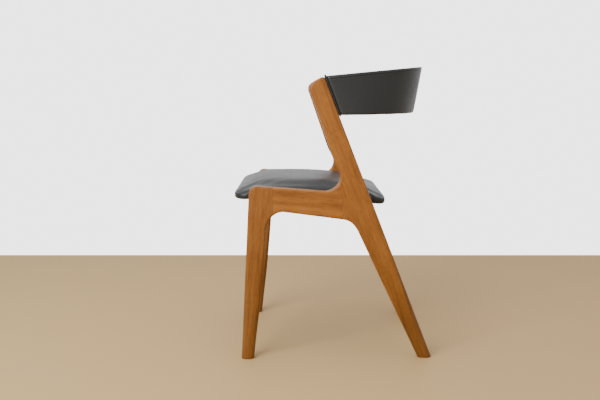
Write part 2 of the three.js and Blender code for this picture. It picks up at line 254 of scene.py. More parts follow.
def mixTeak(name, lean, moved, boardToneAndShade=1.0):     # grain runs up a member that leans this far in the YZ plane
    wood = Recipe(name)
    along = wood.place(moved, (lean, 0, 0))
    wander = wood.cloud(wood.drawnOut(along, 0.25), 9, 2)
    sideways = wood.make("ShaderNodeCombineXYZ", {}, {0: wander, 1: wander, 2: 0.0})
    bent = wood.shifted(along, sideways, teakLook["wander"])
    drawn = wood.drawnOut(bent, 0.055)
    bands = wood.cloud(drawn, teakLook["bandScale"], 3, 0.55, 0.3)
    lines = wood.cloud(drawn, teakLook["lineScale"], 4, 0.65)
    fine = wood.cloud(drawn, teakLook["fineScale"], 2, 0.6)
    dashes = wood.cloud(wood.drawnOut(bent, 0.045), teakLook["poreScale"], 1)
    patches = wood.cloud(along, teakLook["patchScale"], 2)
    figure = bands * 0.40 + lines * 0.38 + fine * 0.22 + (patches - 0.5) * 0.16
    colour = wood.make("ShaderNodeValToRGB", {"stops": [
        (0.36, teakLook["dark"]), (0.50, teakLook["middle"]), (0.64, teakLook["light"])]}, {0: figure})
    pores = dashes.spread(0.58, 0.68) * lines.spread(0.38, 0.60)
    colour = wood.blend(pores * 0.55, colour, teakLook["pore"])
    # lighter rounded edges: partly real wear, partly a painted highlight along the roundovers
    rim = wood.make("ShaderNodeAttribute", {"attribute_name": "rim"}, out=2)
    wearAndHighlight = rim.spread(0.1, 0.7) * patches.spread(0.35, 0.62)
    colour = wood.blend(wearAndHighlight * 0.30, colour, teakLook["wearAndHighlight"])
    height = wood.make("ShaderNodeSeparateXYZ", {}, {0: wood.make("ShaderNodeTexCoord", out="Object")}, 2)
    colour = wood.shaded(colour, boardToneAndShade * (0.62 + height.spread(-0.05, 0.46) * 0.30))     # painted shade: darker towards the floor, where less light reaches
    rough = 0.47 - fine * 0.10 + pores * 0.22 - wearAndHighlight * 0.08 + (patches - 0.5) * 0.12
    relief = fine * 0.25 + lines * 0.35 - pores * 0.8
    normal = wood.bump(relief, 0.30, teakLook["relief"])
    return wood.wear(colour=colour, rough=rough, normal=normal, spec=teakLook["gloss"])


def mixPlainWood(name, light, dark, scale=(1, 1, 1)):
    wood = Recipe(name)
    where = wood.place(scaled=scale)
    bands = wood.cloud(where, 120, 4, 0.6, 0.5)
    flecks = wood.cloud(where, 900, 2)
    colour = wood.blend(bands.spread(0.3, 0.7), dark, light)
    colour = wood.blend(flecks.spread(0.62, 0.72) * 0.35, colour, tuple(c * 0.55 for c in dark))
    return wood.wear(colour=colour, rough=0.62 + flecks * 0.14, normal=wood.bump(bands + flecks, 0.2, 0.0003))


leatherLook = {"pebbleScale": 620.0, "pebbleBend": 160.0, "fineScale": 2600, "patchScale": 7,
               "grainBump": 0.00022, "creaseBump": 0.0012, "gloss": 0.34}


def mixLeather(name, base, rough, creaseScale, creaseDepth):
    hide = Recipe(name)
    where = hide.place()
    bend = hide.make("ShaderNodeTexNoise", {}, {"Vector": where, "Scale": leatherLook["pebbleBend"],
                                                "Detail": 2.0}, out=1)
    pebbles = hide.make("ShaderNodeTexVoronoi", {"feature": "DISTANCE_TO_EDGE"},
                        {"Vector": hide.shifted(where, bend, (0.0016, 0.0016, 0.0016)),
                         "Scale": leatherLook["pebbleScale"]}).spread(0.0, 0.32)
    fine = hide.cloud(where, leatherLook["fineScale"], 2)
    broad = hide.cloud(where, creaseScale, 4, 0.62, 0.7)
    soft = hide.cloud(where, leatherLook["patchScale"], 2)
    creases = (broad - 0.5).math("ABSOLUTE").spread(0.0, 0.035)
    colour = hide.shaded(base, 0.82 + pebbles * 0.18 + (soft - 0.5) * 0.25)
    gloss = rough + (soft - 0.5) * 0.14 - pebbles * 0.05 + fine * 0.05 + (1 - creases) * 0.06
    grain = hide.bump(pebbles * 0.55 + fine * 0.15, 0.28, leatherLook["grainBump"])
    folds = creases * creaseDepth + broad * creaseDepth * 2
    normal = hide.bump(folds, 0.35, leatherLook["creaseBump"], grain)
    return hide.wear(colour=colour, rough=gloss, normal=normal, spec=leatherLook["gloss"],
                     sheen=0.02, sheenRough=0.5)


def mixSteel(name):
    steel = Recipe(name)
    where = steel.place()
    scratches = steel.cloud(where, 2200, 3, 0.7)
    stain = steel.cloud(where, 160, 3)
    colour = steel.blend(stain.spread(0.4, 0.7), (0.60, 0.58, 0.54), (0.42, 0.40, 0.36))
    return steel.wear(colour=colour, metal=1.0, rough=0.26 + scratches * 0.2 + stain * 0.12,
                      normal=steel.bump(scratches, 0.2, 0.0002))


def mixCloth(name, base, pitch):              # a woven cloth seen from below
    cloth = Recipe(name)
    where = cloth.place()
    warp = cloth.make("ShaderNodeTexWave", {"bands_direction": "X"}, {"Vector": where, "Scale": pitch})
    weft = cloth.make("ShaderNodeTexWave", {"bands_direction": "Y"}, {"Vector": where, "Scale": pitch})
    weave = warp * weft
    dust = cloth.cloud(where, 40, 3)
    colour = cloth.blend(weave * 0.5 + dust * 0.2, tuple(c * 0.5 for c in base), base)
    return cloth.wear(colour=colour, rough=0.92 - weave * 0.1, normal=cloth.bump(weave, 0.4, 0.0003))


def mixFoam(name):
    foam = Recipe(name)
    where = foam.place()
    cells = foam.make("ShaderNodeTexVoronoi", {}, {"Vector": where, "Scale": 900.0})
    colour = foam.blend(cells.spread(0.1, 0.6), (0.62, 0.52, 0.32), (0.80, 0.72, 0.50))
    return foam.wear(colour=colour, rough=0.95 - cells * 0.1, normal=foam.bump(cells, 0.5, 0.0006))


# the last number is each member's brightness, partly its board colour and partly painted shade (the front leg
# darker, the rail lighter)
legTeak = mixTeak("teakFrontLeg", radians(4.2), (0.31, 0.05, 0.4), 0.92)
railTeak = mixTeak("teakSideRail", radians(96), (0.12, 0.22, 0.1), 1.06)
postTeak = mixTeak("teakRearPost", radians(-21.8), (0.05, 0.41, 0.9), 1.0)
seatLeather = mixLeather("blackSeatLeather", (0.018, 0.021, 0.022), 0.34, 26, 0.16)
backLeather = mixLeather("blackBackLeather", (0.025, 0.028, 0.029), 0.40, 17, 0.16)
pipingLeather = mixLeather("blackPiping", (0.012, 0.013, 0.014), 0.42, 60, 0.03)
beech = mixPlainWood("beech", (0.55, 0.36, 0.18), (0.40, 0.24, 0.10), (0.06, 1, 1))
stainedBeech = mixPlainWood("stainedBeech", (0.30, 0.125, 0.030), (0.20, 0.072, 0.014), (0.06, 1, 1))
plywood = mixPlainWood("plywood", (0.62, 0.45, 0.26), (0.42, 0.27, 0.14), (1, 0.1, 8))
lining = mixCloth("blackLining", (0.035, 0.035, 0.036), 400)
foam = mixFoam("cutFoam")
steel = mixSteel("zincedSteel")
print("materials mixed")


# side frames

members = {"edgeRound": 5.0, "footRound": 12.6, "roundTop": 300, "roundRun": 240, "rounds": 7,
           "footEdge": 1.6, "postStart": 461, "crispAngle": 38}


def sideOutline():                            # (y, z) in millimetres, clockwise from the front foot
    heights = [0, 20, 40, 60, 90, 120, 150, 180, 210, 240, 270, 300]
    line = [(-236, -20)] + [(-235 + 0.0506 * z, z) for z in heights] + [(-213.7, 420)]
    line += arcTo((-213.7, 420), (-212.6, 443.1), (-191, 441.4), 14)
    line += [(-27, 428.8)]
    line += bezier((-27, 428.8), (-6, 427.2), (14, 443), (14, 465), 22)
    line += bezier((14, 465), (14, 482), (2.5, 491.5), (-6, 515.6), 14)
    line += [(-60.5, 672.8)]
    line += arcTo((-60.5, 672.8), (-67.3, 692.4), (-45, 703.3), 14)
    line += [(-35, 708.2)] + arcTo((-35, 708.2), (-27.7, 711.8), (-24.8, 704.4), 8)
    line += [(postRearY(z), z) for z in reversed(heights)] + [(postRearY(-20), -20)]
    line += [(214.8 - 0.4755 * z, z) for z in [-20] + heights] + [(62.5, 320.3)]
    line += bezier((62.5, 320.3), (51.1, 344.3), (40, 354.9), (22, 357.3), 14) + [(-125, 376.7)]
    line += bezier((-125, 376.7), (-143, 379.1), (-168, 365), (-171.5, 332), 16)
    back = [(-173.7, 300), (-178.3, 240), (-183.4, 180), (-189.4, 120), (-196.7, 60), (-203.3, 0), (-205.4, -20)]
    for a, b in zip([(-171.5, 332)] + back, back):
        line += lineTo(a, b, 3 if abs(a[1] - b[1]) > 40 else 1)
    return line


def insetOf(line):                            # at each point, the step that keeps an even distance inside
    steps = []
    for i, p in enumerate(line):
        before, after = Vector(line[i - 1]), Vector(line[(i + 1) % len(line)])
        a, b = (Vector(p) - before).normalized(), (after - Vector(p)).normalized()
        mean = (a + b).normalized()
        steps.append(Vector((mean.y, -mean.x)) / max(0.6, mean.dot(a)))
    return steps


def edgeRadius(z):                            # the legs grow rounder towards the floor
    share = smooth((members["roundTop"] - z) / members["roundRun"])
    return members["edgeRound"] + (members["footRound"] - members["edgeRound"]) * share


def wholeSide():                              # leg, rail and post in one piece, to be cut apart
    line = sideOutline()
    inward = insetOf(line)
    half = chair["frameThick"] / 2
    rings = []
    for side in (-1, 1):
        rows = []
        for k in range(members["rounds"] + 1):
            turn = k / members["rounds"] * pi / 2
            fall = 1 - cos(turn)
            row = []
            for (y, z), step in zip(line, inward):
                r = edgeRadius(z)
                row.append((side * (half - r + r * sin(turn)), y + step.x * r * fall, z + step.y * r * fall))
            rows.append(row)
        rings += rows[::-1] if side < 0 else rows
    bm = skin(rings, poles=False)
    bm.verts.ensure_lookup_table()
    count = len(line)
    for start in (0, len(bm.verts) - count):
        bm.faces.new([bm.verts[start + i] for i in range(count)])
    turnIn = Matrix.Translation((chair["width"] / 2000, chair["frontY"] / 1000, 0)) @ \
        Matrix.Rotation(atan(chair["toeIn"]), 4, "Z") @ \
        Matrix.Translation((-half / 1000, -chair["frontY"] / 1000, 0))
    bm.transform(turnIn)
    bm.normal_update()
    bmesh.ops.triangulate(bm, faces=[f for f in bm.faces if len(f.verts) > 4])
    bmesh.ops.recalc_face_normals(bm, faces=bm.faces)
    return bm


def splitAt(bm, point, normal, drop=False):
    geometry = bm.verts[:] + bm.edges[:] + bm.faces[:]
    bmesh.ops.bisect_plane(bm, geom=geometry, plane_co=Vector(point) / 1000, plane_no=normal, clear_outer=drop)


def closeCut(bm):
    bmesh.ops.edgeloop_fill(bm, edges=[e for e in bm.edges if e.is_boundary])


def cutAway(bm, point, normal):               # drop what lies beyond a plane
    splitAt(bm, point, normal, drop=True)
    closeCut(bm)


def standOnFloor(bm):                         # cut level with the floor and ease the edge of the foot
    ease = members["footEdge"]
    for share in (1, 0.5, 0.2):
        splitAt(bm, (0, 0, ease * share), (0, 0, 1))
    splitAt(bm, (0, 0, 0), (0, 0, -1), drop=True)
    bm.normal_update()
    moves = []
    for v in bm.verts:
        t = 1 - v.co.z * 1000 / ease
        if t > 0:
            outward = Vector((v.normal.x, v.normal.y, 0)).normalized()
            moves.append((v, outward * ease * (1 - sqrt(max(0, 1 - t * t))) / 1000))
    for v, move in moves:
        v.co -= move
    closeCut(bm)


def dressMember(bm, name, material, node):    # one for each side of the chair
    bmesh.ops.remove_doubles(bm, verts=bm.verts, dist=1e-6)
    bmesh.ops.dissolve_degenerate(bm, edges=bm.edges, dist=1e-6)
    for sign, side in ((1, "left"), (-1, "right")):
        copy = bm.copy()
        if sign < 0:
            mirrorMesh(copy)
        piece = addObject(side + name, copy, material)
        mesh = piece.data
        across = Vector((sign, chair["toeIn"], 0)).normalized()
        rim = mesh.attributes.new("rim", "FLOAT", "POINT")
        rim.data.foreach_set("value", [1 - abs(v.normal.dot(across)) for v in mesh.vertices])
        mesh.set_sharp_from_angle(angle=radians(members["crispAngle"]))
        weighted = piece.modifiers.new("weighted", "WEIGHTED_NORMAL")
        weighted.keep_sharp = True
        finishPiece(piece, "teak", side + "_" + node)
    bm.free()


gap = chair["jointGap"]
jointNormal = Vector((0, 1, chair["postJointLean"])).normalized()
jointPoint = Vector((0, chair["postJointY"], chair["postJointZ"]))

leg = wholeSide()
cutAway(leg, (0, chair["legJointY"] - gap, 0), (0, 1, 0))
standOnFloor(leg)
dressMember(leg, "FrontLeg", legTeak, "front_leg")

rail = wholeSide()
cutAway(rail, (0, chair["legJointY"] + gap, 0), (0, -1, 0))
cutAway(rail, (0, 0, members["postStart"]), (0, 0, 1))
cutAway(rail, jointPoint - jointNormal * gap, jointNormal)
dressMember(rail, "SideRail", railTeak, "side_rail")

post = wholeSide()
splitAt(post, (0, 0, members["postStart"]), (0, 0, 1))
splitAt(post, jointPoint + jointNormal * gap, jointNormal)
middles = [(f, f.calc_center_median()) for f in post.faces]
ahead = [f for f, middle in middles if middle.z < members["postStart"] / 1000
         and (middle * 1000 - jointPoint).dot(jointNormal) < gap]
bmesh.ops.delete(post, geom=ahead, context="FACES")
closeCut(post)
standOnFloor(post)
dressMember(post, "RearPost", postTeak, "rear_post")
print("side frames shaped")


# padding: a closed pad swells as cloth, then the finished skin is laid on it

clothLook = {"quality": 6, "mass": 0.4, "stretch": 18, "shear": 6, "bending": 0.8}


def swell(body, held, sizes):
    remesh = body.modifiers.new("remesh", "REMESH")
    remesh.mode, remesh.voxel_size, remesh.use_smooth_shade = "VOXEL", sizes["voxel"] / 1000, True
    solid = bpy.data.meshes.new_from_object(body.evaluated_get(bpy.context.evaluated_depsgraph_get()))
    body.modifiers.clear()
    body.data = solid
    group = body.vertex_groups.new(name="held")
    for v in solid.vertices:
        weight = held(v.co * 1000)
        if weight > 0:
            group.add([v.index], weight, "REPLACE")
    cloth = body.modifiers.new("cloth", "CLOTH")
    fabric = cloth.settings
    fabric.quality, fabric.mass = clothLook["quality"], clothLook["mass"]
    fabric.tension_stiffness = fabric.compression_stiffness = clothLook["stretch"]
    fabric.shear_stiffness, fabric.bending_stiffness = clothLook["shear"], clothLook["bending"]
    fabric.use_pressure, fabric.uniform_pressure_force = True, sizes["pressure"]
    fabric.vertex_group_mass = "held"
    fabric.effector_weights.gravity = 0
    cloth.point_cache.frame_start, cloth.point_cache.frame_end = 1, sizes["frames"]
    scene = bpy.context.scene
    for f in range(1, sizes["frames"] + 1):
        scene.frame_set(f)
    swollen = body.evaluated_get(bpy.context.evaluated_depsgraph_get()).to_mesh()
    points = []
    for v, w in zip(solid.vertices, swollen.vertices):
        move = w.co - v.co
        if move.length > sizes["cap"] / 1000:
            move = move.normalized() * sizes["cap"] / 1000
        points.append(v.co + move)
    faces = [tuple(p.vertices) for p in solid.polygons]
    scene.frame_set(1)
    bpy.data.objects.remove(body)
    return BVHTree.FromPolygons(points, faces)


def layOn(bm, tree, weightAt, rounds=14):      # take on the swelling, evened out between neighbours
    moves = []
    for v in bm.verts:
        w = weightAt(v.co * 1000)
        hit = tree.find_nearest(v.co)[0] if w > 0 else None
        moves.append((hit - v.co) * w if hit else Vector())
    bm.verts.index_update()
    beside = [[e.other_vert(v).index for e in v.link_edges] for v in bm.verts]
    for _ in range(rounds):
        around = [sum((moves[j] for j in near), Vector()) / len(near) for near in beside]
        moves = [(move + mean) / 2 for move, mean in zip(moves, around)]
    for v, move in zip(bm.verts, moves):
        v.co += move


def padOut(bm, slackRings, held, weightAt, sizes):
    pad = addObject("pad", skin(slackRings), foam)
    layOn(bm, swell(pad, held, sizes), weightAt)


# seat

seat = {"front": -253.0, "rear": 130.0, "clear": 3.2, "frontCorner": 36, "rearCorner": 25,
        "top": 452, "topAt": -98, "rows": 34, "creep": 1.7, "frontDroop": 1.8, "rearDroop": 1.2,
        "slack": 3.0, "voxel": 5.0, "pressure": 4.0, "frames": 18, "cap": 5.0,
        "foldDepth": 0.40, "wrinkle": 0.28, "unevenness": 0.7}
seatMid = (seat["front"] + seat["rear"]) / 2


def seatUnder(y): return 405.7 - 0.0383 * (y + 219)
def seatEdge(y): return 419.5 - 0.037 * (y + 249)


def seatCrown(y):
    return seat["top"] - (0.00004 if y < seat["topAt"] else 0.00052) * (y - seat["topAt"]) ** 2


def seatDroop(y):                             # the underside rolls down a little at both ends
    return seat["frontDroop"] * smooth((-212 - y) / 24) + seat["rearDroop"] * smooth((y - 96) / 22)


def seatOutline(inset):                       # (x, y) round the seat
    y0, y1 = seat["front"] + inset, seat["rear"] - inset
    r0, r1 = max(seat["frontCorner"] - inset, 6), max(seat["rearCorner"] - inset, 6)

    def x(y): return innerX(y) - seat["clear"] - inset
    half = lineTo((0, y0), (x(y0) - r0, y0), 22)
    half += bezier(half[-1], (x(y0) - r0 * 0.45, y0), (x(y0), y0 + r0 * 0.45), (x(y0 + r0), y0 + r0), 12)
    half += lineTo(half[-1], (x(y1 - r1), y1 - r1), 40)
    half += bezier(half[-1], (x(y1), y1 - r1 * 0.45), (x(y1) - r1 * 0.45, y1), (x(y1) - r1, y1), 12)
    half += lineTo(half[-1], (0, y1), 22)
    return [(0, y0)] + half + [(-a, b) for a, b in reversed(half[:-1])]


def crownAt(x, y):                            # how much of the crown's height there is, 0 at the rim
    u, v = abs(x) / (innerX(y) - seat["clear"]), (y - seatMid) / (seat["rear"] - seatMid)
    along = max(0, 1 - abs(v) ** 7.5) if v < 0 else sqrt(max(0, 1 - v ** 4.6))
    return sqrt(max(0, 1 - u ** 6.5)) * along


def seatRings(slack):                         # from the crown, down the side, under to the lining
    liningHem = 1.3
    shape = seatOutline(slack)
    rings = []
    for k in range(1, seat["rows"] + 1):
        s = 1 - (1 - k / (seat["rows"] + 1)) ** seat["creep"]
        ring = []
        for x, y in shape:
            py = seatMid + (y - seatMid) * s
            share = crownAt(x * s, py) - crownAt(x, y) * s ** 8
            ring.append((x * s, py, seatEdge(py) + (seatCrown(py) - 1.6 * slack - seatEdge(py)) * share))
        rings.append(ring)
    rings.append([(x, y, seatEdge(y)) for x, y in shape])
    for inset, rise in ((0, 9), (0.1, 7), (0.7, 4.6), (2.2, 2.3), (4.2, 0.8), (7, 0),
                        (14, 0), (21, 0), (28, 0), (28.6, 0.5), (29, liningHem)):
        edge = seatOutline(inset + (slack if inset < 5 else 0))
        rings.append([(x, y, seatUnder(y) - seatDroop(y) + rise) for x, y in edge])
    inner = rings[-1]
    for s in (0.7, 0.35):
        flat = [(x * s, seatMid + (y - seatMid) * s) for x, y, z in inner]
        rings.append([(x, y, seatUnder(y) + liningHem) for x, y in flat])
    return rings


def seatHeld(p):
    return 1.0 if p.z < seatUnder(p.y) + 4 else 0.0


def seatCovered(p):
    return smooth((p.z - seatUnder(p.y) - 3) / 12)


def seatInside(p):                            # 0 round the rim, 1 well inside it
    inside = min(innerX(p.y) - seat["clear"] - abs(p.x), p.y - seat["front"], seat["rear"] - p.y)
    return smooth((inside - 5) / 34) if p.z > seatEdge(p.y) else 0


seatSkin = skin(seatRings(0))
padOut(seatSkin, seatRings(seat["slack"]), seatHeld, seatInside, seat)
seatCorners = [(side, cy, depth, folds) for side in (1, -1)
               for cy, depth, folds in ((seat["front"] + 46, 0.2, 13), (seat["rear"] - 32, 1.0, 15))]
seatHeart = Vector((0, seatMid / 1000, 0.40))
for v in seatSkin.verts:                      # gathered folds at the corners and slight creases
    p = v.co * 1000
    if seatCovered(p) > 0.02:
        for side, cy, depth, folds in seatCorners:
            cx, toward = side * (innerX(cy) - 40), 1 if cy > 0 else -1
            away = Vector((p.x - cx, p.y - cy))
            outward = away.normalized().dot(Vector((side, toward)).normalized())
            turn = away.angle_signed(Vector((side, 0.001)), 0)
            near = smooth((outward - 0.25) / 0.6) * smooth((away.length - 12) / 26)
            low = smooth((seatCrown(p.y) - 8 - p.z) / 22)
            fold = sin(turn * folds + 2.2 * noise.noise(p / 30)) * near * low * depth * seat["foldDepth"]
            v.co += Vector((side * 0.6, toward * 0.6, 0.5)) * fold / 1000
        crease = noise.noise(Vector((p.x / 46, p.y / 15, p.z / 22))) * smooth((p.y - seatMid - 105) / 50)
        broad = noise.noise(p / 70 + Vector((3, 1, 7)))
        lift = crease * seat["wrinkle"] + broad * seat["unevenness"]
        v.co += (v.co - seatHeart).normalized() * lift / 1000
seatPiece = addObject("seatCushion", seatSkin, seatLeather)
finishPiece(seatPiece, "seat_leather", "seat_cover", "seat_foam")
print("seat padded")


# back rail

back = {"halfWidth": 233, "thick": 27, "bottom": 617, "top": 714.4, "topRise": 0.106, "rearY": 220.2, "lean": 0.18,
        "outerRound": 5, "innerRound": 8, "weltGap": 6.4, "seamDrop": 9.0, "seamDepth": 1.0, "seamHalf": 1.3,
        "slack": 3.0, "voxel": 5.0, "pressure": 3.0, "frames": 14, "cap": 4.5, "stations": 120, "edgeRipple": 0.9}
quarter = [k / 6 * pi / 2 for k in range(7)]


def backPoint(turn, depth, share, rise):      # turn round the plan, depth in from outside, share up the height
    z, y = back["bottom"], 0
    for _ in range(4):
        end = postRearY(z) + back["weltGap"]
        rear = back["rearY"] + back["lean"] * (z - back["bottom"])
        y = end + (rear - end - depth) * cos(turn)
        z = back["bottom"] + share * (back["top"] + back["topRise"] * y - back["bottom"]) + rise
    return Vector(((back["halfWidth"] - depth) * sin(turn), y, z))


def backSection(thick, seam=True):            # (depth, share, rise) round the padded section
    def corner(depth, sign, share, r, flip):
        up = 1 if share == 0 else -1
        arc = [(depth + sign * r * (1 - cos(a)), share, up * r * (1 - sin(a))) for a in quarter]
        return arc[::-1] if flip else arc
    outer, inner, drop = back["outerRound"], back["innerRound"], back["seamDrop"]
    loop = corner(0, 1, 0, outer, False) + [(thick * t, 0, 0) for t in (0.4, 0.5, 0.6)]
    loop += corner(thick, -1, 0, inner, True)
    for k in range(1, 14):
        t = k / 14
        loop.append((thick + 1.2 * sin(pi * t), t, inner * (1 - t) - inner * t))
    loop += corner(thick, -1, 1, inner, False) + [(thick * t, 1, 0.3) for t in (0.55, 0.4)]
    loop += corner(0, 1, 1, outer, True)
    for d in (6.2, 7.2, 7.9, 8.5, 8.8, 9.2, 9.6, 10.4, 11.6, 13.5):
        off, half = abs(d - drop), back["seamHalf"]
        groove = back["seamDepth"] * max(0, 1 - (off / half) ** 2) if seam else 0
        swellOut = 0.45 * smooth((drop - d) / 2) if d < drop else 0.35 * smooth(1 - (off - half) / 4)
        loop.append((groove - swellOut * seam, 1, -d))
    for k in range(1, 12):
        t = 1 - k / 12
        loop.append((0, t, -13.5 * t + outer * (1 - t)))
    return loop


def backRings(thick, seam=True):
    rings = []
    for k in range(back["stations"] + 1):
        turn = radians(-90 + 180 * k / back["stations"])
        wave = back["edgeRipple"] * noise.noise(Vector((turn * 4.2, 5, 0)))
        ring = []
        for depth, share, rise in backSection(thick, seam):
            ripple = wave * (1 - share) if share < 0.5 else 0
            ring.append(backPoint(turn, depth, share, rise + ripple))
        rings.append(ring)
    return rings


def planReach(p):                             # 1 at about the outer face of the back
    x, y = p.x / back["halfWidth"], (p.y - 15) / 235
    return sqrt(x * x + y * y)


def backHeld(p):                              # only the inner face is free to swell
    return 1.0 if planReach(p) > 0.935 or p.y < postRearY(p.z) + 16 else 0.0


def backCovered(p):
    return smooth((0.955 - planReach(p)) / 0.03) * smooth((p.y - postRearY(p.z) - 14) / 30)


backSkin = skin(backRings(back["thick"]))
padOut(backSkin, backRings(back["thick"] - back["slack"], seam=False), backHeld, backCovered, back)
backPiece = addObject("backPad", backSkin, backLeather)
finishPiece(backPiece, "back_leather", "back_cover", "back_foam")
print("back padded")


# piping round the ends of the back

piping = {"radius": 2.6, "sides": 14, "proud": 0.6, "corner": 5.0, "sink": 0.2, "unevenness": 0.03}


def pipingPath():
    r, proud = piping["corner"], piping["proud"]
    outer = piping["radius"] + piping["sink"]
    inner = back["thick"] - piping["radius"] - piping["sink"]
    loop = []
    for depth, sign, share, flip in ((outer, 1, 0, False), (inner, -1, 0, True),
                                     (inner, -1, 1, False), (outer, 1, 1, True)):
        up = 1 if share == 0 else -1
        arc = [(depth + sign * r * (1 - cos(a)), share, up * (r * (1 - sin(a)) - proud)) for a in quarter]
        loop += arc[::-1] if flip else arc
        if share == 0 and flip:
            loop += [(inner, t, (1 - 2 * t) * (r - proud)) for t in (0.2, 0.4, 0.6, 0.8)]
    loop += [(outer, t, (1 - 2 * t) * (r - proud)) for t in (0.8, 0.6, 0.4, 0.2)]
    return [backPoint(pi / 2, *p) - Vector((0, back["weltGap"] / 2, 0)) for p in loop]


def pipingCord():
    path = pipingPath()
    across = Vector((0, 1, chair["postRake"])).normalized()
    rings = []
    for i, p in enumerate(path):
        along = (path[(i + 1) % len(path)] - path[i - 1]).normalized()
        out = along.cross(across)
        ring = []
        for k in range(piping["sides"]):
            a = 2 * pi * k / piping["sides"]
            r = piping["radius"] * (1 + piping["unevenness"] * noise.noise(Vector((i * 0.7, k * 0.5, 2))))
            ring.append(p + across * r * cos(a) + out * r * sin(a))
        rings.append(ring)
    return skin(rings, closed=True)


for sign, side in ((1, "left"), (-1, "right")):
    cord = pipingCord()
    if sign < 0:
        mirrorMesh(cord)
    finishPiece(addObject(side + "Piping", cord, pipingLeather), "piping", side + "_back_welt")
print("piping sewn")


# screws and staples beneath the seat, set out with Geometry Nodes

class Growth:                                 # one Geometry Nodes tree with named inputs
    def __init__(self, name, sizes):
        self.tree = bpy.data.node_groups.new(name, "GeometryNodeTree")
        face = self.tree.interface
        self.ids = {}
        face.new_socket("Geometry", in_out="INPUT", socket_type="NodeSocketGeometry")
        for label, value in sizes.items():
            socket = face.new_socket(label, in_out="INPUT", socket_type="NodeSocketFloat")
            socket.default_value = value
            self.ids[label] = socket.identifier
        face.new_socket("Geometry", in_out="OUTPUT", socket_type="NodeSocketGeometry")
        self.start = self.tree.nodes.new("NodeGroupInput")
        self.end = self.tree.nodes.new("NodeGroupOutput")

    def make(self, kind, settings=None, inputs=None):
        node = self.tree.nodes.new(kind)
        for key, value in (settings or {}).items():
            setattr(node, key, value)
        for key, value in (inputs or {}).items():
            if hasattr(value, "is_output"):
                self.tree.links.new(value, node.inputs[key])
            elif isinstance(value, tuple) and value and hasattr(value[0], "is_output"):
                for link in value:
                    self.tree.links.new(link, node.inputs[key])
            else:
                node.inputs[key].default_value = value
        return node

    def size(self, label):
        return self.start.outputs[label]

    def sum(self, a, b, operation="ADD"):
        return self.make("ShaderNodeMath", {"operation": operation}, {0: a, 1: b}).outputs[0]

    def vector(self, x=0.0, y=0.0, z=0.0):
        return self.make("ShaderNodeCombineXYZ", {}, {0: x, 1: y, 2: z}).outputs[0]

    def moved(self, mesh, z):
        place = {"Geometry": mesh, "Translation": self.vector(z=z)}
        return self.make("GeometryNodeTransform", {}, place).outputs[0]

    def turned(self, instances, low, high, seed, ownAxes):     # each by its own chance about Z
        chance = self.make("FunctionNodeRandomValue", {"data_type": "FLOAT"}, {2: low, 3: high, "Seed": seed})
        turn = {"Instances": instances, "Rotation": self.vector(z=chance.outputs[1]), "Local Space": ownAxes}
        return self.make("GeometryNodeRotateInstances", {}, turn).outputs[0]

    def finish(self, geometry, material):
        real = self.make("GeometryNodeRealizeInstances", {}, {"Geometry": geometry}).outputs[0]
        coated = self.make("GeometryNodeSetMaterial", {}, {"Geometry": real, "Material": material}).outputs[0]
        self.tree.links.new(coated, self.end.inputs[0])


def harvest(name, seedMesh, growth, values):  # run the tree and keep its result as a plain mesh
    seedPiece = bpy.data.objects.new(name, seedMesh)
    bpy.context.scene.collection.objects.link(seedPiece)
    modifier = seedPiece.modifiers.new(name, "NODES")
    modifier.node_group = growth.tree
    for label, value in values.items():
        modifier[growth.ids[label]] = value
    grown = bpy.data.meshes.new_from_object(seedPiece.evaluated_get(bpy.context.evaluated_depsgraph_get()))
    seedPiece.modifiers.clear()
    seedPiece.data = grown
    grown.set_sharp_from_angle(angle=radians(35))
    return seedPiece


screw = {"Head radius": 0.0036, "Shank radius": 0.0019, "Cone": 0.0026, "Length": 0.030, "Point": 0.004,
         "Recess width": 0.0010, "Recess length": 0.0044, "Recess depth": 0.0015}
aims = {}
for side, sign in (("left", 1), ("right", -1)):
    for end, toward in (("front", -1), ("rear", 1)):
        aims[f"{side}_{end}_side_screw"] = Vector((sign, 0, 0))
        aims[f"{side}_{end}_cross_screw"] = Vector((0, toward, 0))
        aims[f"{side}_{end}_seat_screw"] = Vector((0, 0, 1))

heads = bpy.data.meshes.new("screwHeads")
spots = []
for node, aim in aims.items():
    low, high = (Vector(c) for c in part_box(node))
    middle = (low + high) / 2
    reach = Vector(aim[n] * (high[n] - low[n]) / 2 for n in range(3))
    spots.append(middle - reach)
heads.from_pydata(spots, [], [])
aimData = heads.attributes.new("aim", "FLOAT_VECTOR", "POINT")
for i, aim in enumerate(aims.values()):
    aimData.data[i].vector = aim

g = Growth("woodScrews", screw)
coneSizes = {"Vertices": 28, "Radius Bottom": g.size("Head radius"),
             "Radius Top": g.size("Shank radius"), "Depth": g.size("Cone")}
cone = g.make("GeometryNodeMeshCone", {}, coneSizes).outputs["Mesh"]
bars = []
for wide, deep in (("Recess length", "Recess width"), ("Recess width", "Recess length")):
    extent = g.vector(g.size(wide), g.size(deep), g.sum(g.size("Recess depth"), 2.0, "MULTIPLY"))
    bars.append(g.make("GeometryNodeMeshCube", {}, {"Size": extent}).outputs["Mesh"])
cross = {"Mesh 1": cone, "Mesh 2": tuple(bars)}
head = g.make("GeometryNodeMeshBoolean", {"operation": "DIFFERENCE"}, cross).outputs[0]
shankLength = g.sum(g.sum(g.size("Length"), g.size("Cone"), "SUBTRACT"), g.size("Point"), "SUBTRACT")
shank = g.make("GeometryNodeMeshCylinder", {}, {"Vertices": 16, "Radius": g.size("Shank radius"),
                                                "Depth": shankLength}).outputs["Mesh"]
shank = g.moved(shank, g.sum(g.size("Cone"), g.sum(shankLength, 0.5, "MULTIPLY")))
point = g.make("GeometryNodeMeshCone", {}, {"Vertices": 16, "Radius Bottom": g.size("Shank radius"),
                                            "Radius Top": 0.0002, "Depth": g.size("Point")}).outputs["Mesh"]
point = g.moved(point, g.sum(g.size("Cone"), shankLength))
